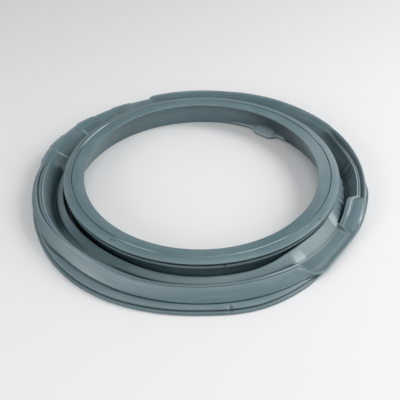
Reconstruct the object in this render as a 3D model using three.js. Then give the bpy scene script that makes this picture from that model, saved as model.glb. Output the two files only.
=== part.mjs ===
// Door seal of a front-loading washing machine, moulded in one piece of rubber.
// Millimetres, +Z up. The origin is the centre of the base plane the seal rests on.
// One closed wall section is carried round the vertical axis, and its shape changes
// with the angle: a regular fold with a double-ridged rim, a scooped run at the front
// right, a plain cone with raised pads at the back, and a drain spout on the inner foot.
import * as THREE from 'three';

// driving sizes of the ring
const outerRadius = 200;
const mouthRadius = 138.1;
const headHeight = 35.2;
const wall = 3;

// inner lip, from its foot up to the mouth edge
const footRadius = 151;
const mouthDrop = 1.5;

// top of the head: a stepped line, then a slope to an overhanging edge
const stepRadius = 151.2;
const stepRise = 0.8;
const stepWidth = 1.5;
const headOuterRadius = 161.3;
const headSlopeDrop = 1.9;
const headEdge = 1;

// undercut and thin rib below the head, then the neck
const neckRadius = 156.4;
const undercutDepth = 1.2;
const thinRibReach = 3.6;
const thinRibThickness = 1.3;
const neckFootHeight = 9;

// first fold: narrow root and crest with a sloping band
const rootHeight = 6.2;
const crestRadius = 161;
const crestHeight = 15.9;

// second fold: valley and ridged rim
const valleyHeight = 4.2;
const rimRadius = 181;
const rimHeight = 24.5;
const pairDip = 1.1;

// skirt, two ribs and the flat base
const upperRibInset = 2.5;
const upperRibHeight = 8;
const ribGroove = 1.5;
const ribGrooveHeight = 5.4;
const lowerRibHeight = 3.2;
const baseWidth = 4.2;
const baseRound = 0.9;

// scooped run, between two angles from +X in degrees; its rim starts more gently
const scoopStart = -56.5;
const scoopBlend = 2.4;
const scoopRimStart = -55.3;
const scoopRimBlend = 6.4;
const scoopEnd = -28.4;
const scoopEndBlend = 1.4;
const scoopFloor = 8.4;
const scoopHollow = 1.9;
const scoopEdgeHeight = 11.3;
const scoopBandWidth = 11;
const scoopRibDrop = 2.6;

// sloping shelf beside the scoop, and the low dam that closes the valley there
const shelfStart = -28;
const shelfEnd = -15.4;
const shelfBlend = 1.2;
const shelfInset = 15.5;
const shelfDrop = 3;
const damStart = -29;
const damEnd = -25.4;
const damHeight = 13.6;

// plain cone at the back; its rim starts later and more sharply than its foot
const coneStart = 16;
const coneBlend = 24;
const coneRimStart = 30;
const coneRimBlend = 4;
const coneEnd = 171;
const coneFoot = 12;
const coneHeight = 24.2;

// pads that stand proud of the cone
const padCorners = [112, 120.5, 129, 138, 146, 154, 163, 171];
const padProud = [0, 1, 0, 1, 0, 1, 0];
const padStep = 1.3;
const padBlend = 0.9;

// drain spout on the inner foot
const spoutHeight = 4.6;
const spoutThickness = 2.4;
const spoutSlope = 0.62;
const spoutReach = [
  [41.5, 0], [43, 1.8], [47, 3], [48.3, 8.8], [50, 11.8], [60, 6.8], [62.5, 2.2], [74, 0],
];

// how some sizes change round the ring: an angle in degrees and the change or size there
const baseReach = [
  [0, 0], [10, 0], [90, 0], [180, 0], [192, 0], [205, 0.6], [218, 1.8], [230, 2.4], [242, 2.2],
  [256, 0.4], [264, 0], [288, 0], [298, -2.5], [305, -5], [312, -9.5], [320, -12], [328, -11.5],
  [336, -7.5], [346, -5], [352, -2.5], [357, 0],
];
const crestShift = [[0, 1], [90, 0], [180, 2.6], [205, 1.8], [235, 0.4], [270, 0], [320, 0]];
const crestRise = [
  [182, 0], [195, 1.2], [210, 3.4], [225, 4.4], [238, 3.2], [252, 1], [266, 0], [350, 0],
];
const bandWidth = [
  [0, 6.6], [180, 6.6], [200, 7.6], [225, 10.4], [245, 9.4], [270, 8.2], [302, 8.2], [335, 7],
];
const bandDrop = [[0, 3.1], [195, 3.1], [215, 1.2], [235, 1.2], [250, 2.6], [262, 3.1]];
const valleyRise = [
  [0, 0], [198, 0], [212, 8], [225, 12.5], [236, 11.5], [244, 6], [254, 1.5], [266, 0],
];
const rimShift = [
  [0, 2.3], [7, 2], [13, 0.8], [20, 1.4], [27, 3.6], [33, 6], [170, 5.3], [180, 5.3], [200, 4.6],
  [220, 2], [245, 0], [300, 0], [335, 1.4], [352, 1.4],
];
const rimRise = [
  [0, 0], [200, 0], [205, -1], [215, -0.3], [225, 0.8], [239, 0.6], [246, -0.8], [253, -1.4],
  [262, -0.6], [272, 0], [300, 0], [315, -1], [330, -10.6], [334, -8.8], [345, -0.8], [352, 0],
];
const pairSpacing = [
  [0, 2.6], [10, 2.2], [24, 0.8], [165, 0.8], [176, 3.6], [200, 2.8], [218, 0.8], [300, 0.8],
  [340, 2.6],
];
const ridgeSpacing = [
  [0, 7.6], [8, 8.5], [20, 12], [30, 10], [34, 3.4], [165, 3.4], [178, 7.6], [200, 6.4],
  [218, 3.6], [240, 3.4], [300, 3.4], [335, 7.4],
];
const grooveDepth = [
  [0, 2.8], [8, 3], [20, 3.6], [30, 1.5], [165, 1.1], [175, 2.4], [200, 2], [220, 1.1],
  [300, 1.1], [343.5, 1.1], [346, 2.8],
];
const edgeInset = [
  [0, 6.6], [6, 5.5], [16, 4.2], [34, 2.8], [48, 2.3], [60, 1.8], [74, 3], [78, 4.6], [90, 4.3],
  [105, 5.2], [110.9, 5.8], [112.2, 12.4], [120, 11.6], [128.5, 8.6], [137, 7], [145, 3.7],
  [154, 3.6], [162, 1.6], [171, 2], [180, 6], [200, 9], [215, 11.6], [230, 13.4], [300, 13.7],
  [310, 3], [317, 7], [325, 8], [333, 6.4], [347, 7.6],
];
const edgeHeight = [
  [0, 22], [10, 22.5], [25, 23.5], [40, 24], [168, 24], [172, 21.5], [180, 21], [200, 21.6],
  [215, 22.6], [230, 23.4], [300, 23.4], [335, 16], [342, 20.5], [350, 21.4],
];
const skirtInset = [
  [0, 5.5], [16, 4], [34, 2.8], [74, 2.8], [90, 3.5], [160, 1.5], [172, 1.2], [180, 1], [192, 1],
  [200, 1.4], [208, 2.8], [215, 5], [222, 7.2], [232, 7.8], [244, 7.5], [260, 8], [300, 8],
  [310, 7], [325, 7.7], [340, 7], [350, 6.8],
];
const skirtHeight = [
  [0, 17], [16, 18.5], [40, 18], [160, 18], [180, 18.3], [192, 18], [200, 17], [208, 15.8],
  [215, 14.2], [222, 12.8], [244, 12.3], [300, 12.6], [310, 10], [330, 9.6], [340, 15], [350, 17],
];

// angle between the sections where nothing changes quickly
const regularStep = 6;

const mix = (a, b, t) => a + (b - a) * t;

function smooth(t) {
  const u = Math.min(1, Math.max(0, t));
  return u * u * (3 - 2 * u);
}

const turn = (angle) => ((angle % 360) + 360) % 360;

// signed difference of two angles in degrees, between -180 and 180
const angleFrom = (angle, centre) => turn(angle - centre + 180) - 180;

// 1 between two angles and 0 outside, with smooth ends of the blend angle
function span(angle, start, end, blend) {
  const half = (end - start) / 2;
  return smooth((half - Math.abs(angleFrom(angle, (start + end) / 2))) / blend + 0.5);
}

// straight-line value of a table at one angle
function between(angle, table) {
  const a = turn(angle);
  const first = table[0];
  const points = [...table, [first[0] + 360, first[1]]];
  if (a < first[0]) points.unshift([table[table.length - 1][0] - 360, table[table.length - 1][1]]);
  let i = 0;
  while (a > points[i + 1][0]) i += 1;
  const t = (a - points[i][0]) / (points[i + 1][0] - points[i][0]);
  return mix(points[i][1], points[i + 1][1], t);
}

// the same, averaged over a few degrees to either side
function around(angle, table, soften) {
  const shifts = [-1, -0.5, 0, 0.5, 1].map((t) => t * soften);
  return shifts.reduce((sum, shift) => sum + between(angle + shift, table), 0) / shifts.length;
}

// height of the proud pads above the cone
function padLift(angle) {
  const lifts = padProud.map(
    (up, i) => up * span(angle, padCorners[i], padCorners[i + 1], padBlend),
  );
  return padStep * Math.min(1, lifts.reduce((sum, up) => sum + up, 0));
}

// how far the section has turned into the scoop, whose rim has its own start
function scoopShare(angle, start, blend) {
  const middle = (scoopStart + scoopEnd) / 2;
  const from = middle + angleFrom(angle, middle);
  return smooth((from - start) / blend + 0.5) * smooth((scoopEnd - from) / scoopEndBlend + 0.5);
}

// the same for the plain cone
function coneShare(angle, start, blend) {
  const middle = (coneStart + coneEnd) / 2;
  const from = middle + angleFrom(angle, middle);
  return smooth((from - start) / blend + 0.5) * smooth((coneEnd - from) / padBlend + 0.5);
}

// closed section of the wall at one angle, as radius and height, inner foot first
function sectionAt(angle) {
  const scoop = scoopShare(angle, scoopStart, scoopBlend);
  const scoopRim = scoopShare(angle, scoopRimStart, scoopRimBlend);
  const cone = coneShare(angle, coneStart, coneBlend);
  const coneRim = coneShare(angle, coneRimStart, coneRimBlend);
  const shelf = span(angle, shelfStart, shelfEnd, shelfBlend);
  const dam = span(angle, damStart, damEnd, shelfBlend);
  const lift = padLift(angle);
  const blended = (regular, scooped, coned) => [0, 1].map(
    (k) => mix(mix(regular[k], coned[k], cone), scooped[k], scoop),
  );
  const rimmed = (regular, scooped, coned) => [0, 1].map(
    (k) => mix(mix(regular[k], coned[k], coneRim), scooped[k], scoopRim),
  );

  // inner lip: a straight flare, with the spout's plate on its foot
  const reach = around(angle, spoutReach, 0.3);
  const spout = smooth(reach / 1.5);
  const tip = footRadius - 1 - reach;
  const mouthHeight = headHeight - mouthDrop;
  const joint = spoutHeight + spoutSlope * reach;
  const onLip = (t) => [mix(footRadius, mouthRadius, t), mouthHeight * t];
  const plate = (t, radius, height) => [
    mix(onLip(t)[0], radius, spout),
    mix(onLip(t)[1], height, spout),
  ];
  const lip = [
    onLip(0),
    plate(0.03, footRadius - 1.6, spoutHeight - spoutThickness - 0.8),
    plate(0.06, tip + 0.5, spoutHeight - spoutThickness),
    plate(0.11, tip, spoutHeight),
    plate(0.17, mix(tip, onLip(joint / mouthHeight)[0], 0.6), mix(spoutHeight, joint, 0.5)),
    plate(0.22, ...onLip(joint / mouthHeight)),
    onLip(0.55),
    onLip(0.95),
  ];

  // head: mouth edge, stepped line, slope and overhanging edge
  const edgeTop = headHeight - headSlopeDrop;
  const underHead = edgeTop - 2 * headEdge;
  const head = [
    [mouthRadius + 0.5, mouthHeight + 0.2],
    [stepRadius - stepWidth, headHeight],
    [stepRadius - 0.55 * stepWidth, headHeight - stepRise],
    [stepRadius, headHeight + 0.6 * stepRise],
    [stepRadius + stepWidth, headHeight - 0.1],
    [headOuterRadius - headEdge, edgeTop],
    [headOuterRadius, edgeTop - headEdge],
    [headOuterRadius - headEdge, underHead],
  ];

  // undercut, thin rib and neck
  const thinTop = underHead - undercutDepth - 0.4;
  const thinLow = thinTop - thinRibThickness;
  const neck = [
    [neckRadius + 0.6, underHead - 0.3],
    [neckRadius + 0.6, thinTop],
    [neckRadius + thinRibReach, thinTop - 0.1],
    [neckRadius + thinRibReach, thinLow],
    [neckRadius, thinLow - 0.4],
    [neckRadius, neckFootHeight],
  ];

  // first fold with its band
  const crest = crestRadius + around(angle, crestShift, 6);
  const crestTop = crestHeight + around(angle, crestRise, 5);
  const bandEnd = crest + around(angle, bandWidth, 5);
  const bandLow = crestTop - around(angle, bandDrop, 5);
  const wideEnd = crest + scoopBandWidth;
  const fold = [
    [neckRadius + 0.8, rootHeight + 0.2],
    [crest - 2.2, rootHeight],
    [crest - 0.7, crestTop - 2],
    [crest, crestTop - 0.2],
    [crest + 1.6, crestTop],
    blended([bandEnd, bandLow], [wideEnd, bandLow - 0.4], [bandEnd, bandLow + 0.2]),
  ];

  // valley, rim and skirt; they open into one floor in the scoop and one slope on the cone
  const valleyLow = valleyHeight + around(angle, valleyRise, 4);
  const ridge = rimRadius + around(angle, rimShift, 3);
  const pair = ridge + around(angle, pairSpacing, 3);
  const second = ridge + around(angle, ridgeSpacing, 3);
  const groove = around(angle, grooveDepth, 1);
  const rimTop = rimHeight + around(angle, rimRise, 3);
  const edge = outerRadius - around(angle, edgeInset, 0.8);
  const edgeTall = around(angle, edgeHeight, 3);
  const rimEdge = Math.max(edge, second + 1.2);
  const low = outerRadius - around(angle, skirtInset, 2);
  const lowTall = around(angle, skirtHeight, 2);
  const shelfIn = crest + shelfInset;
  const hollow = scoopFloor - scoopHollow;
  const coneRadius = bandEnd + 1.2;
  const onCone = (t) => [
    mix(coneRadius, edge, t),
    mix(coneFoot, coneHeight, t) + lift * smooth(t * 3),
  ];
  const onScoop = (back, t) => [edge - back, mix(scoopFloor, scoopEdgeHeight, t)];
  const onRim = (radius, height, out) => [
    mix(radius, shelfIn + out, shelf),
    mix(height, rimTop, shelf),
  ];
  const slope = onRim(mix(bandEnd + 4.4, ridge, 0.62), mix(valleyLow, rimTop, 0.55), -0.8);
  const outside = [
    blended(
      [bandEnd + 0.9, mix(valleyLow + 1.8, damHeight - 0.9, dam)],
      [wideEnd + 0.9, hollow + 2.2],
      onCone(0),
    ),
    blended(
      [bandEnd + 2.4, mix(valleyLow, damHeight - 0.3, dam)],
      [wideEnd + 2.6, hollow],
      onCone(0.1),
    ),
    blended(
      [bandEnd + 4.4, mix(valleyLow + 0.8, damHeight, dam)],
      [mix(wideEnd, edge, 0.45), scoopFloor - 0.45 * scoopHollow],
      onCone(0.25),
    ),
    blended([slope[0], slope[1] - shelfDrop * shelf], onScoop(8, 0), onCone(0.42)),
    rimmed(onRim(ridge - 1, rimTop - 1.2, 0), onScoop(5.8, 0.28), onCone(0.56)),
    rimmed(onRim(ridge, rimTop, 1.2), onScoop(4.1, 0.6), onCone(0.62)),
    rimmed(onRim(mix(ridge, pair, 0.5), rimTop - pairDip, 3), onScoop(3.5, 0.75), onCone(0.67)),
    rimmed(onRim(pair, rimTop - 0.15, 5), onScoop(3, 0.8), onCone(0.72)),
    rimmed(onRim(mix(pair, second, 0.55), rimTop - groove, 8), onScoop(2.4, 0.87), onCone(0.78)),
    rimmed([second, rimTop - 0.3 * (1 - shelf)], onScoop(1.8, 0.97), onCone(0.85)),
    rimmed(
      [mix(second, edge, 0.5) + 0.5, mix(rimTop, edgeTall, 0.6) - 0.5],
      onScoop(1, 1),
      onCone(0.93),
    ),
    rimmed([rimEdge, edgeTall - 0.6], onScoop(0, 0.94), onCone(1)),
    rimmed(
      [mix(rimEdge, low, 0.4), mix(edgeTall - 0.6, lowTall, 0.4)],
      [edge + 0.2, scoopEdgeHeight - 1],
      [edge + 0.4, coneHeight - 1.8 + lift],
    ),
    [
      mix(mix(low, mix(edge, low, 0.6), cone), edge, scoopRim),
      mix(lowTall, scoopEdgeHeight - 1.8, scoopRim),
    ],
  ];

  // two ribs and the flat base; the ribs stand lower under the scoop's edge
  const outer = outerRadius + around(angle, baseReach, 2);
  const rib = outer - upperRibInset;
  const ribTop = upperRibHeight - scoopRibDrop * scoopRim;
  const grooveTop = ribGrooveHeight - 0.5 * scoopRibDrop * scoopRim;
  const ledge = smooth((lowTall - 12.6) / 3);
  const notch = mix(low - 1.3, rib - 1.4, ledge);
  const ribs = [
    [
      mix(mix(low + 0.2, Math.min(low, rib) - 0.8, ledge), edge - 1.2, scoopRim),
      mix(lowTall - mix(1.2, 1.8, ledge), scoopEdgeHeight - 3.2, scoopRim),
    ],
    [mix(notch, rib - 1.5, scoopRim), ribTop + mix(mix(2.1, 2.9, ledge), 0.5, scoopRim)],
    [rib - 0.1, ribTop + mix(1, 0.1, scoopRim)],
    [rib, ribTop - mix(1.2, 0.5, scoopRim)],
    [rib - ribGroove + 0.2, grooveTop],
    [outer - 1.2, grooveTop - 0.7],
    [outer, lowerRibHeight - 0.6 * scoopRim],
    [outer, baseRound],
    [outer - baseRound, 0],
    [outer - baseRound - baseWidth, 0],
  ];

  // underside, one wall thickness behind the visible faces, back to the foot
  const underRim = rimTop - wall - Math.max(groove, 1.9) - 0.4;
  const behind = Math.min(notch, rib - 1.3) - wall;
  const scoopFar = outer - 9.5;
  const footInside = [Math.min(outer - 8, notch - 1.2), lowerRibHeight + 1.8];
  const underCone = (t) => [
    mix(coneRadius, edge, t) + 1.6,
    mix(coneFoot, coneHeight, t) - wall,
  ];
  const under = [
    blended(footInside, [outer - 6.2, lowerRibHeight - 0.2], footInside),
    blended(
      [Math.min(low - wall - 1.2, behind), Math.min(lowTall + 0.2, underRim - 1.5)],
      [outer - 7.6, scoopFloor - wall - 0.3],
      [low - wall - 1, lowTall - 1],
    ),
    blended(
      [Math.min(second - 1.4, behind), underRim],
      [scoopFar, scoopFloor - wall - 0.4],
      [edge - 4.2, coneHeight - wall - 1.6],
    ),
    blended(
      [ridge + 1, underRim],
      [mix(wideEnd, scoopFar, 0.6), scoopFloor - wall - 0.5],
      underCone(0.6),
    ),
    blended(
      [bandEnd + 7.4, valleyLow - 0.4],
      [mix(wideEnd, scoopFar, 0.3), hollow - wall + 0.3],
      underCone(0.3),
    ),
    blended(
      [bandEnd + 3, valleyLow - wall + 0.2],
      [wideEnd + 0.6, hollow - wall + 0.5],
      [coneRadius + 1.2, coneFoot - wall],
    ),
    blended(
      [bandEnd - 0.6, valleyLow - 1.4],
      [wideEnd - 1.6, bandLow - 5],
      [bandEnd - 0.6, bandLow - wall - 0.2],
    ),
    blended(
      [crest + 4.6, crestTop - 5.3],
      [crest + 7, crestTop - 4.9],
      [crest + 4.2, crestTop - wall - 2],
    ),
    [crest + 2.6, crestTop - wall - 0.9],
    [crest + 1.2, rootHeight - 1],
    [neckRadius + 0.4, rootHeight - wall + 0.2],
    [neckRadius - wall, rootHeight + 0.4],
    [neckRadius - wall, underHead - 4.2],
    [stepRadius + 0.4, underHead - 0.5],
    [mouthRadius + 6.9, underHead - 1.4],
    [mix(footRadius, mouthRadius, 0.5) + wall * 1.06, headHeight * 0.48],
    [footRadius + wall, 0],
  ];
  return [...lip, ...head, ...neck, ...fold, ...outside, ...ribs, ...under];
}

// angles of the sections: an even set, with more where the shape changes quickly
function stationAngles() {
  const close = padBlend / 2;
  const quick = [
    scoopRimStart - scoopRimBlend / 2,
    scoopRimStart,
    scoopRimStart + scoopRimBlend / 2,
    scoopEnd - scoopEndBlend / 2,
    scoopEnd + scoopEndBlend / 2,
    damEnd - shelfBlend / 2,
    damEnd + shelfBlend / 2,
    shelfEnd - shelfBlend / 2,
    shelfEnd + shelfBlend / 2,
    coneRimStart - coneRimBlend / 2,
    coneRimStart + coneRimBlend / 2,
    ...padCorners.flatMap((corner) => [corner - close, corner + close]),
    ...spoutReach.map(([angle]) => angle),
  ].map(turn);
  const even = Array.from({ length: 360 / regularStep }, (_, i) => i * regularStep);
  const kept = even.filter((a) => quick.every((b) => Math.abs(angleFrom(a, b)) > 1.5));
  return [...kept, ...quick].sort((a, b) => a - b);
}

// joins each section to the next, and the last to the first
function ringGeometry() {
  const angles = stationAngles();
  const rings = angles.map(sectionAt);
  const count = rings[0].length;
  const positions = rings.flatMap((ring, i) => {
    const a = THREE.MathUtils.degToRad(angles[i]);
    return ring.flatMap(([r, z]) => [r * Math.cos(a), r * Math.sin(a), z]);
  });
  const index = rings.flatMap((ring, i) => {
    const here = i * count;
    const next = ((i + 1) % rings.length) * count;
    return ring.flatMap((_, j) => {
      const k = (j + 1) % count;
      return [here + j, here + k, next + k, here + j, next + k, next + j];
    });
  });
  const geometry = new THREE.BufferGeometry();
  geometry.setAttribute('position', new THREE.Float32BufferAttribute(positions, 3));
  geometry.setIndex(index);
  geometry.computeVertexNormals();
  return geometry;
}

const rubber = new THREE.MeshStandardMaterial({ color: 0x6c7d84, roughness: 0.5, metalness: 0 });
const seal = new THREE.Mesh(ringGeometry(), rubber);
seal.name = 'door_seal';

const group = new THREE.Group();
group.name = 'washing_machine_door_seal';
group.add(seal);

export default group;
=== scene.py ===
import math
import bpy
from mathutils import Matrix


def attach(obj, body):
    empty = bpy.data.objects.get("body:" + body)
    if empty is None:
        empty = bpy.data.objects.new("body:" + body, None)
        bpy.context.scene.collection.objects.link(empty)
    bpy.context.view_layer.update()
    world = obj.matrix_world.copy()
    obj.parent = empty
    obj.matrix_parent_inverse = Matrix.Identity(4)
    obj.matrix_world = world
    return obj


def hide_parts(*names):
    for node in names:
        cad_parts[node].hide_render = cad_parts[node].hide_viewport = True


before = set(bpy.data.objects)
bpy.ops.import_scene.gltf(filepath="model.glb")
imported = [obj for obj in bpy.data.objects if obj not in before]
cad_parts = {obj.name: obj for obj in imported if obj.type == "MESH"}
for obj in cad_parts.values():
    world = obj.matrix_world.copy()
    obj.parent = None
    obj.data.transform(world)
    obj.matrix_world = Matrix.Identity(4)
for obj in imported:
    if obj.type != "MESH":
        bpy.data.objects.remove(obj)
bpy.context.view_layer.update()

from types import SimpleNamespace
import bpy
import numpy as np
from mathutils import Quaternion, Vector

mm = 0.001  # lengths are millimetres in the seal's own frame and are turned to metres once


# Cubic ease: 3u^2 - 2u^3, with u the value kept between 0 and 1.
def smooth(t):
    u = np.clip(t, 0.0, 1.0)
    return u * u * (3.0 - 2.0 * u)


# Straight line from a at t = 0 to b at t = 1.
def mix(a, b, t):
    return a + (b - a) * t


# 0 while the value is short of its limit and 1 past it, eased over the blend.
def passed(value, limit, blend):
    return smooth((value - limit) / blend + 0.5)


# Signed difference of two angles in degrees, from -180 to 180.
def angleFrom(angle, centre):
    return (angle - centre + 540.0) % 360.0 - 180.0


# 1 at the centre angle, easing to 0 at the half angle on both sides.
def bell(angle, centre, halfAngle):
    return smooth(1.0 - np.abs(angleFrom(angle, centre)) / halfAngle)


# 1 between two angles and 0 outside, each end eased over the blend angle.
def span(angle, start, end, blend):
    half, middle = (end - start) / 2.0, (start + end) / 2.0
    return passed(half, np.abs(angleFrom(angle, middle)), blend)


# Value of a table at each angle: straight lines between its angles, averaged over five places
# spread by the soften angle to both sides.
def around(angle, table, soften):
    knots, values = np.array(table, float).T
    shifts = np.linspace(-soften, soften, 5)
    knots = knots % 360.0
    return np.mean([np.interp(angle + shift, knots, values, period=360.0) for shift in shifts], 0)


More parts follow.
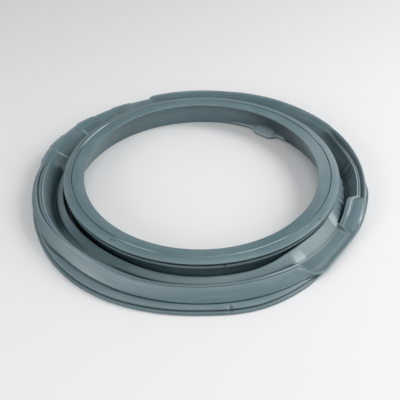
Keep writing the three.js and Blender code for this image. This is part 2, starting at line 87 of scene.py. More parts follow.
# The seal's sizes in millimetres and degrees, close to its solid's, with finer forms added. Angles
# run from +X towards +Y, and a table pairs an angle with the value there.
sealSettings = {
    # inner lip and head
    "footRadius": 151.0,
    "mouthRadius": 137.9,
    "mouthOval": 1.6,
    "mouthDrop": 1.5,
    "headHeight": 35.2,
    "headOuterRadius": 161.3,
    "headSlopeDrop": 1.9,
    "headEdge": 1.0,
    "stepRadius": 152.0,
    "stepRise": 0.8,
    "stepWidth": 1.5,
    "wall": 3.0,
    # undercut, thin rib and neck
    "neckRadius": 156.4,
    "undercutDepth": 2.9,
    "thinRibReach": 3.6,
    "thinRibThickness": 2.5,
    "neckFootHeight": 9.0,
    # first fold, its sloping band and the valley behind it
    "rootHeight": 6.2,
    "crestHeight": 15.9,
    "crestRadius": ((180, 163.6), (205, 162.8), (235, 161.4), (270, 161.0), (292, 161.2),
                    (306, 158.6), (342, 158.6), (352, 159.4), (2, 160.8), (90, 161.0)),
    "crestRise": ((182, 0), (195, 1.2), (210, 3.4), (225, 4.4), (238, 3.2), (252, 1.0), (266, 0),
                  (292, 0.2), (300, 3.0), (307, 6.6), (342, 6.6), (352, 4.6), (0, 2.2), (8, 0)),
    "bandWidth": ((8, 6.6), (180, 6.6), (200, 7.6), (225, 10.4), (245, 9.4), (270, 8.2), (290, 8.6),
                  (306, 10.8), (335, 10.0), (352, 8.6), (0, 7.6)),
    "bandDrop": ((8, 3.1), (195, 3.1), (215, 1.2), (235, 1.2), (250, 2.6), (262, 3.1), (292, 3.3),
                 (300, 5.6), (307, 9.2), (342, 9.2), (352, 7.4), (0, 5.0)),
    "crinklePlace": (350.0, 20.0),
    "crinkleWaves": (1.9, 3.1),
    "valleyHeight": 4.2,
    "valleyRise": ((0, 0), (198, 0), (212, 8.0), (225, 12.5), (236, 11.5), (244, 6.0), (254, 1.5),
                   (266, 0)),
    # rim: two close ridges, a groove, then a third ridge and the outer edge
    "rimHeight": 24.5,
    "rimRise": ((0, 0), (200, 0), (205, -1.0), (215, -0.3), (225, 0.8), (239, 0.6), (246, -0.8),
                (253, -1.4), (262, -0.6), (272, 0), (300, 0), (315, -1.0), (330, -10.6),
                (334, -8.8), (345, -0.8), (352, 0)),
    "ridgeRadius": ((0, 183.3), (7, 183.0), (13, 181.8), (20, 182.4), (27, 184.6), (33, 187.0),
                    (170, 186.3), (180, 186.3), (200, 185.6), (220, 183.0), (245, 181.0),
                    (300, 181.0), (335, 182.4), (352, 182.4)),
    "pairSpacing": ((0, 2.6), (10, 2.2), (24, 0.8), (165, 0.8), (176, 3.6), (200, 2.8), (218, 0.8),
                    (300, 0.8), (340, 2.6)),
    "pairDip": 1.1,
    "ridgeSpacing": ((0, 7.6), (8, 8.5), (20, 12.0), (30, 10.0), (34, 3.4), (165, 3.4), (178, 7.6),
                     (200, 6.4), (218, 3.6), (240, 3.4), (300, 3.4), (335, 7.4)),
    "grooveDepth": ((0, 2.8), (8, 3.0), (20, 3.6), (30, 1.5), (165, 1.1), (175, 2.4), (200, 2.0),
                    (220, 1.1), (300, 1.1), (343.5, 1.1), (346, 2.8)),
    "edgeRadius": ((0, 193.4), (6, 194.5), (16, 195.8), (34, 197.2), (48, 197.7), (60, 198.2),
                   (74, 197.0), (78, 195.4), (90, 195.7), (105, 194.8), (110.9, 194.2),
                   (112.2, 187.6), (120, 188.4), (128.5, 191.4), (137, 193.0), (145, 196.3),
                   (154, 196.4), (162, 198.4), (171, 198.0), (180, 194.0), (200, 191.0),
                   (215, 188.4), (230, 186.6), (270, 186.3), (300, 186.3), (310, 197.0),
                   (317, 193.0), (325, 192.0), (333, 193.6), (347, 192.4)),
    "edgeHeight": ((0, 22.0), (10, 22.5), (25, 23.5), (40, 24.0), (168, 24.0), (172, 21.5),
                   (180, 21.0), (200, 21.6), (215, 22.6), (230, 23.4), (300, 23.4), (335, 16.0),
                   (342, 20.5), (350, 21.4)),
    # skirt, two ribs and the flat base
    "skirtLowRadius": ((0, 194.5), (16, 196.0), (34, 197.2), (74, 197.2), (90, 196.5), (160, 198.5),
                       (172, 198.8), (180, 199.0), (192, 199.0), (200, 198.6), (208, 197.2),
                       (215, 195.0), (222, 192.8), (232, 192.2), (244, 192.5), (260, 192.0),
                       (300, 192.0), (310, 193.0), (325, 192.3), (340, 193.0), (350, 193.2)),
    "skirtLowHeight": ((0, 17.0), (16, 18.5), (40, 18.0), (160, 18.0), (180, 18.3), (192, 18.0),
                       (200, 17.0), (208, 15.6), (215, 13.6), (222, 12.0), (244, 11.2), (262, 10.6),
                       (292, 10.4), (300, 11.4), (310, 10.0), (330, 9.6), (340, 15.0), (350, 17.0)),
    "ledgeFrom": 12.0,
    "ledgeBlend": 3.0,
    "upperRibInset": 2.5,
    "upperRibHeight": 6.6,
    "ribGroove": 1.5,
    "ribGrooveHeight": 4.1,
    "lowerRibHeight": 2.5,
    "outerRadius": 200.0,
    "baseReach": ((0, 0), (10, 0), (90, 0), (180, 0), (192, 0), (205, 0.8), (218, 3.0), (230, 4.4),
                  (242, 4.0), (252, 2.2), (260, 1.0), (268, 0), (272, 0), (279, 1.2), (286, 1.6),
                  (292, 0), (298, -2.3), (305, -5.0), (312, -9.5), (320, -12.0), (328, -11.5),
                  (336, -7.5), (346, -5.0), (352, -2.5), (357, 0)),
    "baseWidth": 4.2,
    "baseRound": 0.9,
    # scoop: a low channel with a thin upright edge
    "scoopMiddle": -42.0,
    "scoopStart": -56.5,
    "scoopBlend": 2.4,
    "scoopRimStart": -55.3,
    "scoopRimBlend": 6.4,
    "scoopEnd": -30.0,
    "scoopEndBlend": 1.4,
    "scoopFloor": 8.4,
    "scoopHollow": 1.9,
    "scoopEdgeHeight": 11.3,
    "scoopBandOuter": 170.2,
    "scoopLedgeHeight": 5.9,
    "scoopUpperRibHeight": 5.0,
    "scoopRibGrooveHeight": 3.7,
    "scoopLowerRibHeight": 2.4,
    # dam at the scoop's end and the flat shelf behind it
    "damStart": -30.8,
    "damEnd": -26.6,
    "damHeight": 13.6,
    "shelfStart": -29.6,
    "shelfEnd": -14.8,
    "shelfBlend": 1.2,
    "shelfInner": 171.8,
    # plain cone with its pads, each second one proud
    "coneMiddle": 98.0,
    "coneStart": 16.0,
    "coneBlend": 24.0,
    "coneRimStart": 30.0,
    "coneRimBlend": 4.0,
    "coneEnd": 171.0,
    "coneFootEnd": 168.6,
    "coneFoot": 12.0,
    "coneHeight": 24.2,
    "padCorners": (112.0, 120.5, 129.0, 138.0, 146.0, 154.0, 163.0, 171.0),
    "padProud": (0, 1, 0, 1, 0, 1, 0),
    "padShine": (0.2, 0.2, 1.0, 0.2, 1.0, 0.2, 0.9, 0.6),
    "padLine": 0.6,
    "padStep": 1.3,
    "padBlend": 0.9,
    # drain spout on the inner foot
    "spoutHeight": 4.6,
    "spoutThickness": 2.4,
    "spoutSlope": 0.62,
    "spoutReach": ((41.5, 0), (43.0, 1.8), (47.2, 3.0), (48.2, 8.0), (49.6, 12.0), (54.0, 12.2),
                   (58.6, 10.6), (61.8, 3.6), (64.0, 1.9), (72.0, 1.3), (74.0, 0)),
    "spoutBlend": 1.5,
    # places where shade or a highlight is painted on the rubber: a centre angle and the half angle
    # round it
    "places": {
        "left": (190.0, 34.0),
        "right": (358.0, 34.0),
        "front": (270.0, 42.0),
        "frontLeft": (240.0, 36.0),
        "back": (90.0, 70.0),
        "backLeft": (130.0, 30.0),
        "backRight": (45.0, 34.0),
        "headRight": (8.0, 44.0),
        "headBack": (97.0, 46.0),
        "headBackLeft": (138.0, 34.0),
        "headFrontRight": (305.0, 26.0),
        "bandShine": (226.0, 24.0),
        "ridgeGlint": (297.0, 13.0),
        "ridgeEnd": (29.0, 3.0),
        "lens": (21.0, 11.0),
        "ticks": (4.0, 10.0),
        "shallow": (222.0, 24.0),
        "shelfGlint": (336.5, 2.4),
        "skirtFoot": (233.0, 14.0),
        "ledgeShine": (232.0, 18.0),
        "underLedge": (229.0, 24.0),
    },
    # more painted light and shade: spans of the head step's painted glints with their strengths,
    # spans of painted highlights on the scoop's and dam's facets, the span where the valley's
    # painted shade fades, the valley height and blend from which that shade grows, where the
    # shelf's painted highlight starts, the wave of the darker tick marks, and the angle of the
    # parting mark
    "headGlints": ((282.0, 306.0, 10.0, 1.0), (236.0, 252.0, 8.0, 1.0), (142.0, 162.0, 8.0, 1.0),
                   (18.0, 26.0, 6.0, 0.6)),
    "scoopFacet": (-55.0, -50.5, 1.2),
    "damFacet": (-29.8, -26.0, 0.8),
    "valleyFade": (9.0, 60.0, 8.0),
    "shallowFrom": 16.0,
    "shallowBlend": 9.0,
    "shelfGlintStart": -25.0,
    "tickWave": 1.7,
    "partingAt": 278.2,
    # fineness of the mesh
    "stations": 380,
    "cornerSteps": 3,
    "spoutSpan": (40.0, 64.0, 3.0),
}


# Height of the proud pads above the cone at each angle.
def padLift(angle, s):
    pads = zip(s["padProud"], s["padCorners"], s["padCorners"][1:])
    proud = sum(up * span(angle, start, end, s["padBlend"]) for up, start, end in pads)
    return np.clip(proud, 0.0, 1.0) * s["padStep"]


# How much of each local shape there is at every angle, from 0 to 1.
def localShares(angle, s):
    share = SimpleNamespace()
    onScoop = angleFrom(angle, s["scoopMiddle"]) + s["scoopMiddle"]
    beforeEnd = passed(s["scoopEnd"], onScoop, s["scoopEndBlend"])
    share.scoop = passed(onScoop, s["scoopStart"], s["scoopBlend"]) * beforeEnd
    share.scoopRim = passed(onScoop, s["scoopRimStart"], s["scoopRimBlend"]) * beforeEnd
    share.dam = span(angle, s["damStart"], s["damEnd"], s["shelfBlend"])
    share.shelf = span(angle, s["shelfStart"], s["shelfEnd"], s["shelfBlend"])
    onCone = angleFrom(angle, s["coneMiddle"]) + s["coneMiddle"]
    share.cone = passed(onCone, s["coneStart"], s["coneBlend"])
    share.cone = share.cone * passed(s["coneFootEnd"], onCone, s["padBlend"])
    share.coneRim = passed(onCone, s["coneRimStart"], s["coneRimBlend"])
    share.coneRim = share.coneRim * passed(s["coneEnd"], onCone, s["padBlend"])
    share.spout = smooth(around(angle, s["spoutReach"], 0.3) / s["spoutBlend"])
    return share


# Radius or height, at every angle, of the lines that run round the ring.
def ringLines(angle, s):
    line = SimpleNamespace()
    firstWave, secondWave = s["crinkleWaves"]
    line.crinkle = bell(angle, *s["crinklePlace"]) * (
        np.sin(angle * firstWave) + 0.6 * np.sin(angle * secondWave + 1.0))
    line.reach = around(angle, s["spoutReach"], 0.3)
    line.mouth = s["mouthRadius"] - s["mouthOval"] * np.cos(np.radians(2.0 * angle))
    line.mouthHeight = s["headHeight"] - s["mouthDrop"]
    line.headEdgeTop = s["headHeight"] - s["headSlopeDrop"]
    line.underHead = line.headEdgeTop - 2.0 * s["headEdge"]
    line.crest = around(angle, s["crestRadius"], 6.0)
    line.crestTop = s["crestHeight"] + around(angle, s["crestRise"], 5.0)
    line.bandEnd = line.crest + around(angle, s["bandWidth"], 5.0)
    line.bandLow = line.crestTop - around(angle, s["bandDrop"], 5.0)
    line.valleyLow = s["valleyHeight"] + around(angle, s["valleyRise"], 4.0)
    line.rimTop = s["rimHeight"] + around(angle, s["rimRise"], 3.0)
    line.ridge = around(angle, s["ridgeRadius"], 3.0)
    line.second = line.ridge + around(angle, s["ridgeSpacing"], 3.0)
    line.pair = line.ridge + around(angle, s["pairSpacing"], 3.0)
    line.groove = around(angle, s["grooveDepth"], 1.0)
    line.end = around(angle, s["edgeRadius"], 0.8)
    line.endTop = around(angle, s["edgeHeight"], 3.0)
    line.low = around(angle, s["skirtLowRadius"], 2.0)
    line.lowTop = around(angle, s["skirtLowHeight"], 2.0)
    line.coneFoot = line.bandEnd + 1.2
    line.lift = padLift(angle, s)
    line.outer = s["outerRadius"] + around(angle, s["baseReach"], 2.0)
    line.rib = line.outer - s["upperRibInset"]
    line.ledge = smooth((line.lowTop - s["ledgeFrom"]) / s["ledgeBlend"])
    line.notch = mix(line.low - 1.3, line.rib - 1.4, line.ledge)
    return line


# How strongly each mark of painted shade and highlight shows at every angle: the named places are
# bells, and the rest are built from spans, bells and waves of the angle.
def paintedShadeAndHighlights(angle, s, share, line):
    # all of these paint shade or highlights: glints on the head's step, highlights on the pads'
    # edges, the facets, the scoop's end and the shelf, a dark and light pair at the parting mark,
    # and shade on the lip's back, in the step's groove, at the darker tick marks and deep in the
    # valley
    tone = SimpleNamespace(**{name: bell(angle, *place) for name, place in s["places"].items()})
    glints = sum(span(angle, *place) * strength for *place, strength in s["headGlints"])
    tone.glint = np.clip(glints, 0.0, 1.0)
    pads = zip(s["padCorners"], s["padShine"])
    tone.padLine = sum(bell(angle, corner, s["padLine"]) * shine for corner, shine in pads)
    tone.damFacet = span(angle, *s["damFacet"])
    tone.facet = span(angle, *s["scoopFacet"]) + tone.damFacet
    tone.scoopLine = bell(angle, s["scoopEnd"], 0.9)
    tone.valleyFade = span(angle, *s["valleyFade"])
    tone.parting = bell(angle, s["partingAt"], 0.7) - 0.6 * bell(angle, s["partingAt"] - 1.0, 0.6)
    tone.ribParting = bell(angle, s["partingAt"], 0.8)
    tone.lip = -0.85 * tone.backRight - 0.2 * tone.backLeft
    tone.head = 0.22 * tone.headRight - 0.12 * tone.headBackLeft - 0.1 * tone.headFrontRight
    tone.step = mix(-0.9, -0.1, np.maximum(tone.front, tone.headBack))
    tone.ticks = np.maximum(tone.ticks * np.sin(angle * s["tickWave"]), 0.0)
    tone.deep = smooth((s["shallowFrom"] - line.valleyLow) / s["shallowBlend"]) * (1.0 - share.dam)
    tone.deep = tone.deep * (1.0 - 0.8 * tone.shallow) * (1.0 - 0.75 * tone.valleyFade)
    tone.shelfTop = share.shelf * smooth(angleFrom(angle, s["shelfGlintStart"]) / 2.0)
    tone.groove = 0.35 + 0.5 * smooth((line.groove - 1.2) / 1.2)
    return tone


# Collects the corners of the closed wall section. A corner is a radius and a height at every angle,
# a rounding, and a tone of painted shade and highlight from -1, painted shade in a hollow, to 1, a
# painted highlight on an edge.
class WallSection:
    def __init__(self, angle, share):
        self.zero = 0.0 * angle  # gives a plain number one value per angle
        self.share = share
        self.corners = []

    def put(self, radius, height, rounding, tone=0.0):
        self.corners.append((radius + self.zero, height + self.zero, rounding, tone + self.zero))

    # the regular corner, mixed with the cone's and then with the scoop's by their shares
    def putMixed(self, regular, scooped, coned, rounding, tones, coneShare, scoopShare):
        radius = mix(mix(regular[0], coned[0], coneShare), scooped[0], scoopShare)
        height = mix(mix(regular[1], coned[1], coneShare), scooped[1], scoopShare)
        tone = mix(mix(tones[0], tones[2], coneShare), tones[1], scoopShare)
        self.put(radius, height, rounding, tone)

    # a mixed corner inside of the rim
    def putFold(self, regular, scooped, coned, rounding, tones=(0.0, 0.0, 0.0)):
        share = self.share
        self.putMixed(regular, scooped, coned, rounding, tones, share.cone, share.scoop)

    # a mixed corner of the rim, where scoop and cone begin a little later
    def putRim(self, regular, scooped, coned, rounding, tones):
        share = self.share
        self.putMixed(regular, scooped, coned, rounding, tones, share.coneRim, share.scoopRim)

    # corners of all stations as points of radius and height, with their roundings and tones
    def arrays(self):
        radii, heights, roundings, tones = zip(*self.corners)
        points = np.stack([np.stack(radii, 1), np.stack(heights, 1)], -1)
        return points, np.array(roundings), np.stack(tones, 1)


# Inner lip: a straight flare from foot to mouth, with the spout's sloping plate on its foot.
# Its tones paint shade on the lip's back and at the plate's joints, and a highlight on the plate's
# edge.
def putLip(wall, line, tone, s):
    foot, mouth, mouthHeight = s["footRadius"], line.mouth, line.mouthHeight
    plateTop, plateLow = s["spoutHeight"], s["spoutHeight"] - s["spoutThickness"]
    tip = foot - 1.0 - line.reach
    jointTop = plateTop + s["spoutSlope"] * line.reach
    joint = mix(foot, mouth, jointTop / mouthHeight)

    # a place on the straight flare, or on the spout's plate where the spout is
    def putPlate(t, radius, height, rounding, plateTone):
        spout = wall.share.spout
        wall.put(mix(mix(foot, mouth, t), radius, spout), mix(mouthHeight * t, height, spout),
                 rounding, mix(tone.lip, plateTone, spout))

    wall.put(foot, 0.0, 0.3, tone.lip)
    putPlate(0.03, foot - 1.6, plateLow - 0.8, 0.5, -0.5)
    putPlate(0.06, tip + 0.5, plateLow, 0.7, -0.1)
    putPlate(0.11, tip, plateTop, 0.7, 0.5)
    putPlate(0.17, mix(tip, joint, 0.6), mix(plateTop, jointTop, 0.5), 1.2, 0.25)
    putPlate(0.22, joint, jointTop, 0.8, -0.35)
    wall.put(mix(foot, mouth, 0.55), mouthHeight * 0.55, 3.0, tone.lip)
    wall.put(mix(foot, mouth, 0.95), mouthHeight * 0.95, 0.8, tone.lip - 0.35 * tone.back)


# Head: mouth edge, stepped line, gentle slope and overhanging edge.
# Its tones paint the head lighter on the right and darker at the back left, shade in the step's
# groove and under the overhang, and highlights on the step and the edge.
def putHead(wall, line, tone, s):
    step, stepWidth, height = s["stepRadius"], s["stepWidth"], s["headHeight"]
    outer, edge, edgeTop = s["headOuterRadius"], s["headEdge"], line.headEdgeTop
    wall.put(line.mouth + 0.5, line.mouthHeight + 0.2, 0.9, tone.head + 0.1)
    wall.put(step - stepWidth, height, 0.2, tone.head)
    wall.put(step - 0.55 * stepWidth, height - s["stepRise"], 0.3, mix(tone.step, 0.1, tone.glint))
    wall.put(step, height + 0.6 * s["stepRise"], 0.4,
             mix(tone.head + 0.2 * tone.front, 1.0, tone.glint))
    wall.put(step + stepWidth, height - 0.1, 0.8, tone.head)
    wall.put(outer - edge, edgeTop, 0.6, tone.head + 0.12)
    wall.put(outer, edgeTop - edge, 0.4, -0.25)
    wall.put(outer - edge, edgeTop - 2.0 * edge, 0.3, -0.9)


# Undercut below the head, the thin rib that stands out of it, and the neck.
# Its tones paint shade in the undercut and on the neck, less at the front, a highlight on the thin
# rib at the front, and shade at the parting mark.
def putNeck(wall, line, tone, s):
    neck, ribEnd = s["neckRadius"], s["neckRadius"] + s["thinRibReach"]
    ribTop = line.underHead - s["undercutDepth"] - 0.4
    ribLow = ribTop - s["thinRibThickness"]
    wall.put(neck + 0.6, line.underHead - 0.3, 0.4, -0.9)
    wall.put(neck + 0.6, ribTop, 0.3, -0.9)
    wall.put(ribEnd, ribTop - 0.1, 0.4, 0.3 * tone.front - 0.9 * tone.ribParting)
    wall.put(ribEnd, ribLow, 0.4, 0.15 * tone.front)
    wall.put(neck, ribLow - 0.4, 0.6, mix(-0.9, -0.28, tone.front))
    wall.put(neck, s["neckFootHeight"], 1.5, mix(-0.9, -0.4, tone.front))
    wall.put(neck + 0.8, s["rootHeight"] + 0.2, 0.6, -1.0)


# First fold: up to its crest and down the sloping band to the band's outer end.
# Its tones paint shade at the root, light and shade on the crinkles, and highlights on the band's
# facets.
def putBand(wall, line, tone, s):
    crest, crestTop, crinkle = line.crest, line.crestTop, line.crinkle
    wall.put(np.maximum(crest - 2.2, s["neckRadius"] + 1.3), s["rootHeight"], 0.6, -1.0)
    wall.put(crest - 0.7, crestTop - 2.0, 0.8, -0.5)
    wall.put(crest + 0.4 * crinkle, crestTop - 0.2 + 0.8 * crinkle, 0.6, 0.1 + 0.5 * crinkle)
    wall.put(crest + 1.6, crestTop + 0.8 * crinkle, 0.8,
             0.15 * (1.0 - tone.back) - 0.3 * tone.bandShine + 0.5 * tone.damFacet)
    bandTone = 0.15 * tone.front - 0.3 * tone.bandShine + 0.75 * tone.facet + 0.3 * crinkle
    wall.putFold((line.bandEnd + 0.8 * crinkle, line.bandLow),
                 (s["scoopBandOuter"], line.bandLow - 0.4),
                 (line.bandEnd, line.bandLow + 0.2), 0.8,
                 (bandTone, 0.2 + 0.65 * tone.facet, -0.4))


# Valley, inner slope and rim. In the scoop they become its floor and upright edge, on the cone its
# slope with the pads, and on the shelf they are raised to the rim's height.
# Its tones paint shade deep in the valley, in the groove and on the cone's back, and highlights on
# the slopes at the sides, the ridges, the pads' edges, the scoop's end and the shelf.
def putValleyAndRim(wall, line, tone, s):
    share, bandEnd, valleyLow, rimTop = wall.share, line.bandEnd, line.valleyLow, line.rimTop
    ridge, pair, second, end, endTop = line.ridge, line.pair, line.second, line.end, line.endTop
    floor, lipTop, scoopBand = s["scoopFloor"], s["scoopEdgeHeight"], s["scoopBandOuter"]
    shelf, shelfIn, damTop = share.shelf, s["shelfInner"], s["damHeight"]
    flat, padLine, coneBack = 1.0 - shelf, tone.padLine, -0.2 * tone.back

    # the straight slope of the cone from its foot to the outer edge, with the pads on it
    def onCone(t):
        height = mix(s["coneFoot"], s["coneHeight"], t) + line.lift * smooth(t * 3.0)
        return mix(line.coneFoot, end, t), height

    # the given place, or the shelf's where the shelf is
    def orShelf(radius, height, onShelf):
        return mix(radius, onShelf, shelf), mix(height, rimTop, shelf)

    # the given height, or the dam's where the dam is
    def orDam(height, onDam):
        return mix(height, onDam, share.dam)

    # valley
    wall.putFold((bandEnd + 0.9, orDam(valleyLow + 1.8, damTop - 0.9)),
                 (scoopBand + 1.0, line.bandLow - 1.7), onCone(0.0), 1.0,
                 (-0.7 * tone.deep + 0.7 * tone.damFacet, -0.2 + 0.4 * tone.facet, -0.4))
    wall.putFold((bandEnd + 2.4, orDam(valleyLow, damTop - 0.3)),
                 (scoopBand + 3.6, floor + 1.9), onCone(0.1), 1.0,
                 (-0.95 * tone.deep + 0.3 * tone.damFacet, -0.12, -0.3 + 0.7 * padLine))
    footTone = tone.deep * (-0.9 + 0.35 * tone.left + 0.6 * tone.right) - 0.5 * tone.ticks
    wall.putFold((bandEnd + 4.4 - 1.4 * shelf, orDam(valleyLow + 0.8, damTop)),
                 (mix(scoopBand, end, 0.45), floor + 0.5), onCone(0.25), 1.4,
                 (footTone, 0.05 + 0.5 * tone.scoopLine, -0.2 + 0.7 * padLine))
    slope = orShelf(mix(bandEnd + 4.4, ridge, 0.62), mix(valleyLow, rimTop, 0.55), shelfIn - 0.8)
    slopeTone = -0.1 + 0.3 * tone.left + 0.4 * tone.right + 0.35 * tone.lens - 0.9 * tone.ticks
    wall.putFold((slope[0], slope[1] - 3.0 * shelf), (end - 8.0, floor), onCone(0.42), 3.0,
                 (slopeTone, 0.25 + 0.6 * tone.scoopLine, -0.12 + coneBack + 0.6 * padLine))

    # two close ridges
    wall.putRim(orShelf(ridge - 1.0, rimTop - 1.2, shelfIn),
                (end - 5.8, floor + 0.8), onCone(0.56), 0.8,
                (0.3 * tone.left + 0.1 * tone.right, 0.3 + 0.5 * tone.scoopLine,
                 -0.12 + coneBack + 0.4 * padLine))
    ridgeTone = ((0.35 + 0.5 * tone.right) * (1.0 - 0.7 * shelf) + 0.1 * tone.bandShine
                 + 0.8 * tone.ridgeGlint + 0.6 * tone.ridgeEnd)
    wall.putRim(orShelf(ridge, rimTop, shelfIn + 1.2),
                (end - 4.1, mix(floor, lipTop, 0.6)), onCone(0.62), 0.5,
                (ridgeTone, 0.15 + 0.5 * tone.scoopLine, -0.1 + coneBack + 0.3 * padLine))
    dipTone = -0.4 * flat * (1.0 - tone.bandShine) + 0.4 * tone.bandShine
    wall.putRim(orShelf(mix(ridge, pair, 0.5), rimTop - s["pairDip"], shelfIn + 3.0),
                (end - 3.5, mix(floor, lipTop, 0.75)), onCone(0.67), 0.4, (dipTone, 0.1, coneBack))
    pairTone = (0.2 + 0.15 * tone.right - 1.2 * tone.lens + 0.4 * tone.ridgeGlint
                + 0.4 * tone.shelfTop)
    wall.putRim(orShelf(pair, rimTop - 0.15, shelfIn + 4.6),
                (end - 3.0, lipTop - 0.6), onCone(0.72), 0.5, (pairTone, 0.1, coneBack))

    # groove, third ridge and outer edge
    grooveTone = -tone.groove * flat * (1.0 - tone.bandShine) + 0.4 * tone.bandShine
    grooveAt = mix(pair, second, 0.55 - 0.2 * tone.right)
    wall.putRim(orShelf(grooveAt, rimTop - line.groove, shelfIn + 8.0),
                (end - 2.4, lipTop - 0.4), onCone(0.78), 0.4, (grooveTone, 0.1, coneBack))
    wall.putRim((second, rimTop - 0.3 * flat), (end - 1.8, lipTop - 0.1), onCone(0.85), 0.5,
                (0.15 - 0.45 * tone.right * flat + 0.3 * tone.bandShine, 0.15, -0.1 * tone.back))
    wall.putRim((mix(second, end, 0.5) + 0.5, mix(rimTop, endTop, 0.6) - 0.5), (end - 1.0, lipTop),
                onCone(0.93), 0.6,
                (0.1 + 0.1 * tone.left + 0.2 * tone.bandShine + 0.8 * tone.shelfGlint, 0.2, 0.15))
    rimEnd = np.maximum(end, second + 1.2)
    edgeTone = 0.15 + 0.1 * tone.left + 0.15 * tone.frontLeft + 0.2 * tone.right
    wall.putRim((rimEnd, endTop - 0.6), (end, lipTop - 0.2), onCone(1.0), 0.7,
                (edgeTone, 0.1, 0.15))
    wall.putRim((mix(rimEnd, line.low, 0.4), mix(endTop - 0.6, line.lowTop, 0.4)),
                (end + 0.2, lipTop - 1.0), (end + 0.4, s["coneHeight"] - 1.8 + line.lift), 1.5,
                (0.08 + 0.2 * tone.bandShine + 0.15 * tone.frontLeft, 0.0, 0.0))


# Foot of the skirt, the ledge under it, the two ribs and the flat base.
# Its tones paint highlights on the skirt's foot, the ledge and the ribs, shade under the ledge and
# in the rib groove, and a dark and light pair at the parting mark.
def putSkirtAndBase(wall, line, tone, s):
    low, lowTop, end, outer, rib = line.low, line.lowTop, line.end, line.outer, line.rib
    scoopRim, ledge, lipTop = wall.share.scoopRim, line.ledge, s["scoopEdgeHeight"]
    ribTop = mix(s["upperRibHeight"], s["scoopUpperRibHeight"], scoopRim)
    grooveTop = mix(s["ribGrooveHeight"], s["scoopRibGrooveHeight"], scoopRim)
    ledgeHeight = mix(ribTop + mix(2.1, 2.9, ledge), s["scoopLedgeHeight"], scoopRim)
    notch = mix(line.notch, rib - 1.5, scoopRim)
    ribEdge = ribTop + mix(1.0, 0.1, scoopRim)
    footTone = 0.05 + 0.15 * tone.bandShine + 0.1 * tone.frontLeft + 0.35 * tone.skirtFoot
    wall.putMixed((low, lowTop), (end, lipTop - 1.8), (mix(end, low, 0.6), lowTop), 0.7,
                  (footTone, 0.0, 0.0), wall.share.cone, scoopRim)
    wall.put(mix(mix(low + 0.2, np.minimum(low, rib) - 0.8, ledge), end - 1.2, scoopRim),
             mix(mix(lowTop - 1.2, lowTop - 1.8, ledge), lipTop - 3.2, scoopRim), 0.4,
             0.5 * tone.ledgeShine)
    wall.put(notch, ledgeHeight, 0.8, -1.0 + 0.75 * tone.underLedge)
    wall.put(mix(notch, rib - 0.1, 0.4), mix(ledgeHeight, ribEdge, 0.4), 0.4, 0.15)
    wall.put(rib - 0.1, ribEdge, 0.8, 0.15 - 0.6 * tone.parting)
    wall.put(rib, ribTop - mix(1.2, 0.5, scoopRim), 0.7, 0.05 - 0.6 * tone.parting)
    wall.put(rib - s["ribGroove"] + 0.2, grooveTop, 0.5, -1.0)
    wall.put(outer - 1.2, grooveTop - 0.7, 0.6, 0.05 - 0.5 * tone.parting)
    wall.put(outer, mix(s["lowerRibHeight"], s["scoopLowerRibHeight"], scoopRim), 0.6)
    wall.put(outer, s["baseRound"], 0.4)
    wall.put(outer - s["baseRound"], 0.0, 0.3)
    wall.put(outer - s["baseRound"] - s["baseWidth"], 0.0, 0.3)


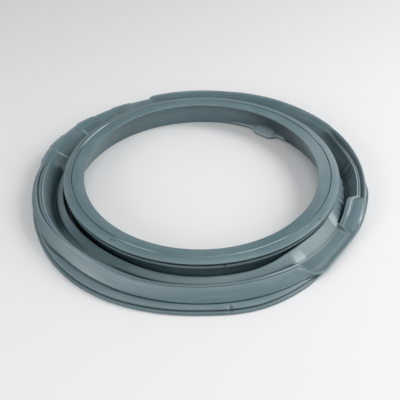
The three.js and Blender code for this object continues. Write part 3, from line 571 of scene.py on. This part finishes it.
# Underside, one wall thickness behind the visible faces, from the base back to the foot.
def putUnderside(wall, line, s):
    thick, foot, neck, scoopBand = s["wall"], s["footRadius"], s["neckRadius"], s["scoopBandOuter"]
    crest, crestTop, bandEnd, bandLow = line.crest, line.crestTop, line.bandEnd, line.bandLow
    outer, low, lowTop, valleyLow = line.outer, line.low, line.lowTop, line.valleyLow
    floorUnder, hollowUnder = s["scoopFloor"] - thick, s["scoopFloor"] - s["scoopHollow"] - thick
    coneFoot, coneLow, coneTop = line.coneFoot, s["coneFoot"], s["coneHeight"]
    underRim = line.rimTop - thick - np.maximum(line.groove, 1.9) - 0.4
    behind = np.minimum(line.notch, line.rib - 1.3) - thick
    innerFoot = np.minimum(outer - 8.0, line.notch - 1.2), 5.0
    scoopOuter = outer - 9.5
    wall.putFold(innerFoot, (outer - 6.2, 3.0), innerFoot, 1.5)
    wall.putFold((np.minimum(low - thick - 1.2, behind), np.minimum(lowTop + 0.2, underRim - 1.5)),
                 (outer - 7.6, floorUnder - 0.3), (low - thick - 1.0, lowTop - 1.0), 1.5)
    wall.putFold((np.minimum(line.second - 1.4, behind), underRim), (scoopOuter, floorUnder - 0.4),
                 (line.end - 4.2, coneTop - thick - 1.6), 0.8)
    wall.putFold((line.ridge + 1.0, underRim), (mix(scoopBand, scoopOuter, 0.6), floorUnder - 0.5),
                 (mix(coneFoot, line.end, 0.6) + 1.6, mix(coneLow, coneTop, 0.6) - thick), 0.8)
    wall.putFold((bandEnd + 7.4, valleyLow - 0.4),
                 (mix(scoopBand, scoopOuter, 0.3), hollowUnder + 0.3),
                 (mix(coneFoot, line.end, 0.3) + 1.6, mix(coneLow, coneTop, 0.3) - thick), 1.5)
    wall.putFold((bandEnd + 3.0, valleyLow - thick + 0.2), (scoopBand + 0.6, hollowUnder + 0.5),
                 (coneFoot + 1.2, coneLow - thick), 1.0)
    wall.putFold((bandEnd - 0.6, valleyLow - 1.4), (scoopBand - 1.6, bandLow - 5.0),
                 (bandEnd - 0.6, bandLow - thick - 0.2), 1.0)
    wall.putFold((crest + 4.6, crestTop - 5.3), (crest + 7.0, crestTop - 4.9),
                 (crest + 4.2, crestTop - thick - 2.0), 0.8)
    wall.put(crest + 2.6, crestTop - thick - 0.9, 0.8)
    wall.put(crest + 1.2, s["rootHeight"] - 1.0, 1.0)
    wall.put(neck + 0.4, s["rootHeight"] - thick + 0.2, 1.0)
    wall.put(neck - thick, s["rootHeight"] + 0.4, 1.0)
    wall.put(neck - thick, line.underHead - 4.2, 1.5)
    wall.put(s["stepRadius"] + 0.4, line.underHead - 0.5, 1.0)
    wall.put(line.mouth + 6.9, line.underHead - 1.4, 1.0)
    wall.put(mix(foot, line.mouth, 0.5) + thick * 1.06, s["headHeight"] * 0.48, 1.0)
    wall.put(foot + thick, 0.0, 0.3)


# The closed wall section at every angle, from the foot over the visible faces and back underneath.
def sealSection(angle, s):
    share, line = localShares(angle, s), ringLines(angle, s)
    tone = paintedShadeAndHighlights(angle, s, share, line)
    wall = WallSection(angle, share)
    for putPart in (putLip, putHead, putNeck, putBand, putValleyAndRim, putSkirtAndBase):
        putPart(wall, line, tone, s)
    putUnderside(wall, line, s)
    return wall.arrays()


# Each corner becomes the quadratic curve (1-t)^2 a + 2t(1-t) c + t^2 b, where c is the corner and a
# and b lie on its two edges at the rounding's distance, or at 0.45 of the shorter edge.
def roundCorners(points, roundings, steps):
    before = np.roll(points, 1, 1) - points
    after = np.roll(points, -1, 1) - points
    lengthBefore = np.linalg.norm(before, axis=-1, keepdims=True)
    lengthAfter = np.linalg.norm(after, axis=-1, keepdims=True)
    cut = np.minimum(roundings[None, :, None], 0.45 * np.minimum(lengthBefore, lengthAfter))
    a = points + before / np.maximum(lengthBefore, 1e-6) * cut
    b = points + after / np.maximum(lengthAfter, 1e-6) * cut
    places = np.linspace(0, 1, steps)
    curves = [(1 - t) ** 2 * a + 2 * t * (1 - t) * points + t * t * b for t in places]
    return np.stack(curves, 2).reshape(points.shape[0], -1, 2)


# Angles of the sections: their spacing narrows in inverse proportion to a density, which peaks at
# the spout, the pads' corners, the scoop's ends and the parting mark.
def stationAngles(s):
    fine = np.linspace(0.0, 360.0, 7201)
    density = 1.0 + 2.0 * span(fine, *s["spoutSpan"])
    crowded = [(s["partingAt"], 2.0, 4.0), (s["scoopStart"], 5.0, 3.0), (s["scoopEnd"], 5.0, 3.0)]
    crowded += [(corner, 1.6, 6.0) for corner in s["padCorners"]]
    for centre, halfAngle, gain in crowded:
        density += gain * bell(fine, centre, halfAngle)
    total = np.concatenate([[0.0], np.cumsum((density[1:] + density[:-1]) / 2.0)])
    wanted = np.linspace(0.0, total[-1], s["stations"] + 1)[:-1]
    return np.interp(wanted, total, fine)


# Mesh of a grid of points that closes on itself in both directions: each point makes a quad with
# the next one in its row and the two beside them in the next row.
def closedGrid(name, grid):
    rows, columns = grid.shape[:2]
    index = np.arange(rows * columns).reshape(rows, columns)
    nextRow = np.roll(index, -1, 0)
    quads = np.stack([index, np.roll(index, -1, 1), np.roll(nextRow, -1, 1), nextRow], -1)
    quads = quads.reshape(-1, 4)
    mesh = bpy.data.meshes.new(name)
    mesh.from_pydata(grid.reshape(-1, 3), [], quads)
    mesh.polygons.foreach_set("use_smooth", np.ones(len(quads), bool))
    mesh.update()
    piece = bpy.data.objects.new(name, mesh)
    bpy.context.scene.collection.objects.link(piece)
    return piece


# The section carried round the axis: x = r cos a, y = r sin a, z = h at every station angle a.
def makeSeal(s):
    angle = stationAngles(s)
    corners, roundings, tones = sealSection(angle, s)
    section = roundCorners(corners, roundings, s["cornerSteps"])
    turn = np.radians(angle)[:, None]
    radius, height = section[..., 0], section[..., 1]
    grid = np.stack([radius * np.cos(turn), radius * np.sin(turn), height], -1) * mm
    piece = closedGrid("doorSeal", grid)
    # each corner's tone of painted shade and highlight, kept on the mesh for the material
    attribute = piece.data.attributes.new("tone", "FLOAT", "POINT")
    attribute.data.foreach_set("value", np.repeat(tones, s["cornerSteps"], 1).ravel())
    return piece


# A node's output that takes part in arithmetic: each operator adds its Math node to the tree.
class Wire:
    def __init__(self, tree, socket=None):
        self.tree = tree
        self.socket = socket

    # adds a node, sets its settings, gives its sockets values or links, and returns one output
    def node(self, kind, settings=None, sockets=None, output=0):
        made = self.tree.nodes.new(kind)
        for key, value in (settings or {}).items():
            setattr(made, key, value)
        for key, value in (sockets or {}).items():
            if isinstance(value, Wire):
                self.tree.links.new(value.socket, made.inputs[key])
            else:
                made.inputs[key].default_value = value
        return Wire(self.tree, made.outputs[output] if made.outputs else None)

    # another output of the same node
    def other(self, name):
        return Wire(self.tree, self.socket.node.outputs[name])

    def maths(self, operation, first, second):
        return self.node("ShaderNodeMath", {"operation": operation}, {0: first, 1: second})

    def clamp(self):
        return self.maths("MAXIMUM", self.maths("MINIMUM", self, 1.0), 0.0)

    # colour a where this value is 0 and b where it is 1
    def blend(self, a, b):
        return self.node("ShaderNodeMix", {"data_type": "RGBA"}, {0: self, 6: a, 7: b}, 2)

    def __add__(self, value):
        return self.maths("ADD", self, value)

    def __radd__(self, value):
        return self.maths("ADD", value, self)

    def __sub__(self, value):
        return self.maths("SUBTRACT", self, value)

    def __rsub__(self, value):
        return self.maths("SUBTRACT", value, self)

    def __mul__(self, value):
        return self.maths("MULTIPLY", self, value)

    def __rmul__(self, value):
        return self.maths("MULTIPLY", value, self)

    def __truediv__(self, value):
        return self.maths("DIVIDE", self, value)

    def __rtruediv__(self, value):
        return self.maths("DIVIDE", value, self)

    def __pow__(self, value):
        return self.maths("POWER", self, value)

    def __rpow__(self, value):
        return self.maths("POWER", value, self)


# The colour with a fourth value of 1, as sockets want it.
def opaque(colour):
    return tuple(colour) + (1.0,)


# An empty node material, and the wire from which its nodes are added.
def newMaterial(name):
    material = bpy.data.materials.new(name)
    material.use_nodes = True
    material.node_tree.nodes.clear()
    return material, Wire(material.node_tree)


# the rubber's colour, the colours of its painted shade and highlights, gloss and surface marks;
# depths, dents and their sizes are in metres
rubberLook = {
    "colour": (0.090, 0.153, 0.174),
    "worn": (0.145, 0.215, 0.238),
    "dark": (0.005, 0.014, 0.019),
    "light": (0.44, 0.51, 0.54),
    "roughness": 0.40,
    "roughnessSpread": 0.28,
    "mottleScale": 24.0,
    "mottleContrast": 1.4,
    "wornShare": 0.12,
    "grainScale": 900.0,
    "grainDepth": 0.00006,
    "waveScale": 18.0,
    "waveDepth": 0.0006,
    "dents": ((-0.0943, -0.1243, 0.0026), (-0.0905, -0.1262, 0.0018), (0.1254, -0.0947, 0.0022)),
    "dentDepth": 0.0008,
    "dentPaintedShade": 0.5,
    "streakAlong": 5.0,
    "streakAcross": 420.0,
    "streakContrast": 4.0,
    "streakLight": 0.10,
    "streakLightFrom": 0.5,
    "streakDark": 0.09,
    "streakDarkFrom": 0.47,
    "streakDepth": 0.00008,
}


# Satin rubber: two greys by a soft mottle, darkened by painted shade and lightened by painted
# highlights from the mesh's tone, with streaks that follow the ring and small dents with painted
# shade in them.
def rubberMaterial(look):
    material, tree = newMaterial("rubber")
    place = tree.node("ShaderNodeTexCoord").other("Object")
    dark, light = opaque(look["dark"]), opaque(look["light"])

    def noise(at, scale, detail):
        sockets = {"Vector": at, "Scale": scale, "Detail": detail}
        return tree.node("ShaderNodeTexNoise", {}, sockets, "Fac")

    mottle = noise(place, look["mottleScale"], 4.0)
    grain = noise(place, look["grainScale"], 2.0)
    wave = noise(place, look["waveScale"], 2.0)
    x = tree.node("ShaderNodeSeparateXYZ", {}, {"Vector": place})
    y, z = x.other("Y"), x.other("Z")

    # the streaks' noise is long round the ring and short across it
    radius = (x * x + y * y) ** 0.5
    flow = tree.node("ShaderNodeCombineXYZ", {}, {
        "X": x / radius * look["streakAlong"],
        "Y": y / radius * look["streakAlong"],
        "Z": (radius - z) * look["streakAcross"],
    })
    streak = noise(flow, 1.0, 3.0)
    lightStreak = ((streak - look["streakLightFrom"]) * look["streakContrast"]).clamp()
    darkStreak = ((look["streakDarkFrom"] - streak) * look["streakContrast"]).clamp()

    tone = tree.node("ShaderNodeAttribute", {"attribute_name": "tone"}, {}, "Fac")
    wornPart = ((mottle - 0.5) * look["mottleContrast"] + look["wornShare"]).clamp()
    colour = wornPart.blend(opaque(look["colour"]), opaque(look["worn"]))
    # painted shade where the tone is below 0, painted highlights where it is above 0
    colour = (0.0 - tone).clamp().blend(colour, dark)
    colour = tone.clamp().blend(colour, light)
    colour = (lightStreak * look["streakLight"]).blend(colour, light)
    colour = (darkStreak * look["streakDark"]).blend(colour, dark)

    height = grain * look["grainDepth"] + wave * look["waveDepth"] + streak * look["streakDepth"]
    # each dent is pressed in and gets painted shade inside it
    for dentX, dentY, size in look["dents"]:
        dent = (1.0 - ((x - dentX) ** 2.0 + (y - dentY) ** 2.0) ** 0.5 / size).clamp()
        height = height - dent * look["dentDepth"]
        colour = (dent * look["dentPaintedShade"]).blend(colour, dark)
    bump = tree.node("ShaderNodeBump", {}, {"Strength": 1.0, "Distance": 1.0, "Height": height})
    shader = tree.node("ShaderNodeBsdfPrincipled", {}, {
        "Base Color": colour,
        "Roughness": look["roughness"] + (mottle + streak - 1.0) * look["roughnessSpread"],
        "Normal": bump,
    })
    tree.node("ShaderNodeOutputMaterial", {}, {"Surface": shader})
    return material


# camera, floor, world and lamps; a lamp is its place, its power in watts and its colour
studio = {
    "cameraAt": (0.0, -0.6505, 0.5149),
    "lookAt": (-0.0018, -0.0192, 0.0),
    "roll": -0.751,
    "lens": 61.75,
    "sensor": 36.0,
    "farEnd": 20.0,
    "floorHalf": 3.0,
    "floorDrop": 0.0002,
    "floorColour": (0.80, 0.80, 0.80),
    "floorRoughness": 0.9,
    "worldColour": (0.97, 0.99, 1.0),
    "worldStrength": 0.42,
    "lampTarget": (0.0, 0.0, 0.02),
    "lampWidth": 0.8,
    "lamps": {
        "right": ((1.18, 0.10, 1.20), 11.5, (1.0, 1.0, 1.0)),
        "rightLow": ((1.54, 0.0, 0.72), 5.0, (1.0, 1.0, 1.0)),
        "frontLeft": ((-1.09, -1.09, 0.72), 7.0, (0.96, 0.98, 1.0)),
        "frontRight": ((1.09, -1.09, 0.72), 3.5, (1.0, 1.0, 1.0)),
        "above": ((0.0, -0.58, 1.60), 4.5, (1.0, 1.0, 1.0)),
    },
}


# Turn that points a camera or lamp from its own place to a target.
def turnTowards(at, target):
    return (Vector(target) - Vector(at)).to_track_quat("-Z", "Y")


# One large square just under the seal.
def makeFloor(s):
    half = s["floorHalf"]
    square = [(-half, -half, 0), (half, -half, 0), (half, half, 0), (-half, half, 0)]
    mesh = bpy.data.meshes.new("floor")
    mesh.from_pydata(square, [], [(0, 1, 2, 3)])
    floor = bpy.data.objects.new("floor", mesh)
    floor.location.z = -s["floorDrop"]
    bpy.context.scene.collection.objects.link(floor)
    material, tree = newMaterial("floor")
    paint = tree.node("ShaderNodeBsdfPrincipled", {}, {
        "Base Color": opaque(s["floorColour"]),
        "Roughness": s["floorRoughness"],
    })
    tree.node("ShaderNodeOutputMaterial", {}, {"Surface": paint})
    mesh.materials.append(material)


# A pale world and round soft lamps that all point at the middle of the seal.
def makeLight(s):
    world = bpy.data.worlds.new("studio")
    world.use_nodes = True
    background = world.node_tree.nodes["Background"]
    background.inputs["Color"].default_value = opaque(s["worldColour"])
    background.inputs["Strength"].default_value = s["worldStrength"]
    bpy.context.scene.world = world
    for name, (at, power, colour) in s["lamps"].items():
        light = bpy.data.lights.new(name, "AREA")
        light.shape = "DISK"
        light.size = s["lampWidth"]
        light.energy = power
        light.color = colour
        lamp = bpy.data.objects.new(name, light)
        lamp.location = at
        lamp.rotation_euler = turnTowards(at, s["lampTarget"]).to_euler()
        bpy.context.scene.collection.objects.link(lamp)


# Camera at the photograph's viewing angle, rolled a little about its own axis.
def makeCamera(s):
    data = bpy.data.cameras.new("camera")
    data.lens = s["lens"]
    data.sensor_width = s["sensor"]
    data.clip_end = s["farEnd"]
    camera = bpy.data.objects.new("camera", data)
    camera.location = s["cameraAt"]
    roll = Quaternion((0.0, 0.0, 1.0), math.radians(s["roll"]))
    camera.rotation_euler = (turnTowards(s["cameraAt"], s["lookAt"]) @ roll).to_euler()
    bpy.context.scene.collection.objects.link(camera)
    bpy.context.scene.camera = camera


seal = makeSeal(sealSettings)
seal.data.materials.append(rubberMaterial(rubberLook))
print("seal:", len(seal.data.polygons), "quads")
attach(seal, "root")
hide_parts("door_seal")

makeFloor(studio)
makeLight(studio)
makeCamera(studio)
bpy.context.scene.view_settings.view_transform = "Standard"
print("studio:", len(studio["lamps"]), "lamps, floor and camera")
